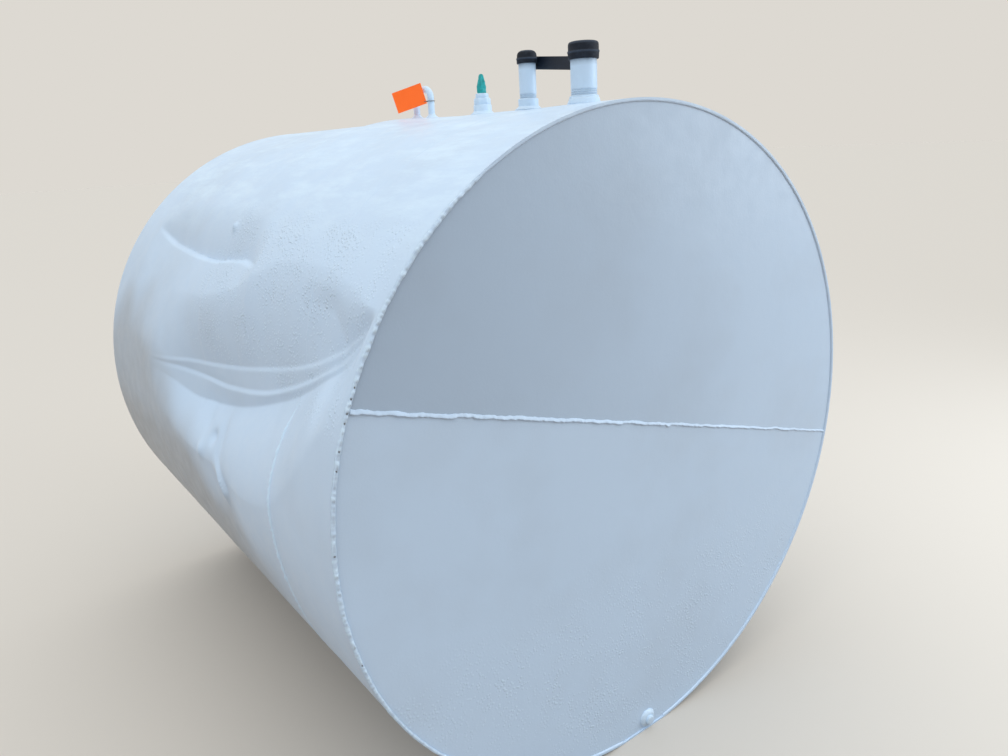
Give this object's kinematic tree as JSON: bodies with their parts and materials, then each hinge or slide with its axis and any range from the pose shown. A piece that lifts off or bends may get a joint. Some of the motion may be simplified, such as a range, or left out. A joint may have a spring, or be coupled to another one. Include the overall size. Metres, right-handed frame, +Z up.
{
  "type": "horizontal steel fuel tank",
  "caption": "Round steel storage tank lying on its side, with flat welded heads, capped fill and vent risers, a lifting lug, a low drain and dents along one side.",
  "frame": {"origin": "on the strip the tank rests on, under its mid length", "axes": "+Z up, +Y along the tank from the drain end to the rear end, +X to the right as seen from the drain end"},
  "size_m": [1.6307, 1.8406, 1.7595],
  "materials": {
    "white_enamel": "weathered white enamel, semi-gloss",
    "black_iron": "painted black, semi-matte",
    "dark_steel": "dark, semi-matte",
    "orange_card": "matte",
    "teal_paint": "matte",
    "wire_steel": "dull"
  },
  "bodies": {
    "root": {"front_shell_course": "white_enamel", "middle_shell_course": "white_enamel", "rear_shell_course": "white_enamel", "front_girth_weld": "white_enamel", "rear_girth_weld": "white_enamel", "front_long_weld": "white_enamel", "middle_long_weld": "white_enamel", "rear_long_weld": "white_enamel", "front_head_upper_plate": "white_enamel", "front_head_lower_plate": "white_enamel", "front_head_seam_weld": "white_enamel", "front_rim_weld": "white_enamel", "rear_head_upper_plate": "white_enamel", "rear_head_lower_plate": "white_enamel", "rear_head_seam_weld": "white_enamel", "rear_rim_weld": "white_enamel", "fill_coupling": "white_enamel", "fill_collar_weld": "white_enamel", "fill_riser": "white_enamel", "fill_cap": "black_iron", "vent_coupling": "white_enamel", "vent_collar_weld": "white_enamel", "vent_riser": "white_enamel", "vent_cap": "black_iron", "port_coupling": "white_enamel", "port_collar_weld": "white_enamel", "port_bushing": "white_enamel", "port_reducer": "white_enamel", "port_plug": "teal_paint", "lifting_lug": "white_enamel", "lug_foot_welds": "white_enamel", "tag": "orange_card", "tag_wire": "wire_steel", "cap_lock_bar": "dark_steel", "drain_coupling": "white_enamel", "drain_collar_weld": "white_enamel", "drain_plug": "white_enamel"}
  },
  "joints": []
}
